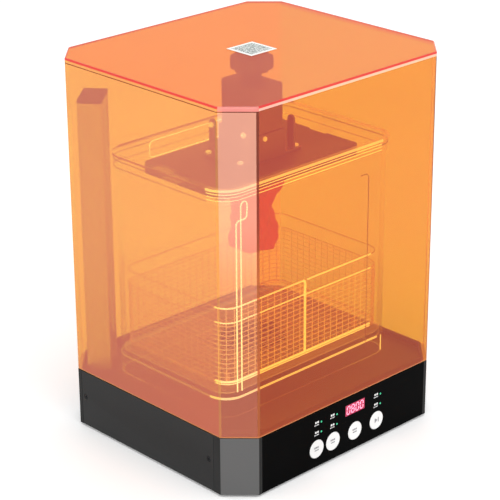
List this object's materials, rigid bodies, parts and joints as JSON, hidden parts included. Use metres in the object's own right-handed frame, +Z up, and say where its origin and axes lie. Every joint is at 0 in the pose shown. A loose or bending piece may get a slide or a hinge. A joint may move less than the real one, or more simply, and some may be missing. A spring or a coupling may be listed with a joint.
{
  "type": "resin print washing and curing station",
  "caption": "Bench-top station that washes and UV-cures resin prints: octagonal base with controls, lift-off amber hood, lamp column, clear bucket with stirrer and hanging build platform.",
  "frame": {"origin": "middle of the footprint, on the plane of the feet", "axes": "+X to the right along the control panel, +Y to the back, +Z up"},
  "size_m": [0.298, 0.268, 0.4002],
  "materials": {
    "housing": "fine-textured dark grey powder coat",
    "panel_gloss": "gloss black overlay",
    "dark_plastic": "dark grey moulded plastic, satin",
    "rubber": "matt black rubber",
    "amber_acrylic": "transparent amber UV-blocking acrylic, gloss",
    "clear_plastic": "clear moulded polycarbonate, gloss",
    "white_plastic": "white moulded plastic",
    "steel": "plated steel, satin",
    "lamp_board_metal": "white-faced aluminium-backed board",
    "anodised": "dark anodised aluminium, fine blasted",
    "circuit_board": "green solder mask",
    "magnet": "nickel-plated",
    "print_resin": "cured resin, satin",
    "label": "white printed film",
    "display_red": "dark red display window"
  },
  "bodies": {
    "base": {"base_shell": "housing", "bottom_plate": "housing", "deck_plate": "housing", "locating_lip": "housing", "drive_cap": "housing", "left_panel": "housing", "right_panel": "housing", "rear_panel": "housing", "front_panel": "panel_gloss", "power_inlet": "dark_plastic", "switch_frame": "dark_plastic", "lamp_cap": "dark_plastic", "foot_front_left": "rubber", "foot_front_right": "rubber", "foot_rear_left": "rubber", "foot_rear_right": "rubber", "wash_bucket": "clear_plastic", "wash_basket": "clear_plastic", "lamp_lens": "clear_plastic", "light_guide_mode": "clear_plastic", "light_guide_speed": "clear_plastic", "light_guide_run": "clear_plastic", "hanger_left": "clear_plastic", "hanger_right": "clear_plastic", "left_panel_screw_front": "steel", "left_panel_screw_rear": "steel", "right_panel_screw_front": "steel", "right_panel_screw_rear": "steel", "drive_motor": "steel", "motor_bracket": "steel", "impeller_pin": "steel", "bracket_screw_front_left": "steel", "bracket_screw_front_right": "steel", "bracket_screw_rear_left": "steel", "bracket_screw_rear_right": "steel", "lamp_board": "lamp_board_metal", "lamp_housing": "lamp_board_metal", "build_plate": "anodised", "plate_bracket": "anodised", "arm_block": "anodised", "control_board": "circuit_board", "power_board": "circuit_board", "sample_print": "print_resin", "display_module": "display_red"},
    "hood": {"hood_shell": "amber_acrylic", "hood_label": "label"},
    "drive_rotor": {"motor_shaft": "steel", "drive_hub": "dark_plastic", "hub_magnet_1": "magnet", "hub_magnet_2": "magnet"},
    "stirrer": {"impeller": "dark_plastic", "impeller_magnet_1": "magnet", "impeller_magnet_2": "magnet"},
    "clamp_knob": {"lock_knob": "dark_plastic", "knob_stem": "steel"},
    "power_switch": {"power_rocker": "dark_plastic"},
    "mode_button": {"button_mode": "white_plastic"},
    "speed_button": {"button_speed": "white_plastic"},
    "time_button": {"button_time": "white_plastic"},
    "start_button": {"button_start": "white_plastic"}
  },
  "joints": [
    {"name": "hood_lift", "type": "slide", "parent": "base", "child": "hood", "axis": [0, 0, 1], "range_m": [0, 0.36]},
    {"name": "drive_spin", "type": "hinge", "parent": "base", "child": "drive_rotor", "pos_m": [0, 0, 0.06], "axis": [0, 0, 1], "continuous": true},
    {"name": "impeller_spin", "type": "hinge", "parent": "base", "child": "stirrer", "pos_m": [0, 0, 0.09], "axis": [0, 0, 1], "continuous": true},
    {"name": "knob_turn", "type": "hinge", "parent": "base", "child": "clamp_knob", "pos_m": [0, 0, 0.38], "axis": [0, 0, 1], "continuous": true},
    {"name": "power_tilt", "type": "hinge", "parent": "base", "child": "power_switch", "pos_m": [-0.052, 0.127, 0.034], "axis": [1, 0, 0], "range_deg": [-20, 0]},
    {"name": "mode_press", "type": "slide", "parent": "base", "child": "mode_button", "axis": [0, 1, 0], "range_m": [0, 0.0008], "stiffness_N_per_m": 1500},
    {"name": "speed_press", "type": "slide", "parent": "base", "child": "speed_button", "axis": [0, 1, 0], "range_m": [0, 0.0008], "stiffness_N_per_m": 1500},
    {"name": "time_press", "type": "slide", "parent": "base", "child": "time_button", "axis": [0, 1, 0], "range_m": [0, 0.0008], "stiffness_N_per_m": 1500},
    {"name": "start_press", "type": "slide", "parent": "base", "child": "start_button", "axis": [0, 1, 0], "range_m": [0, 0.0008], "stiffness_N_per_m": 1500}
  ],
  "couplings": [
    {"joint": "impeller_spin", "follows": "drive_spin", "ratio": 1}
  ]
}
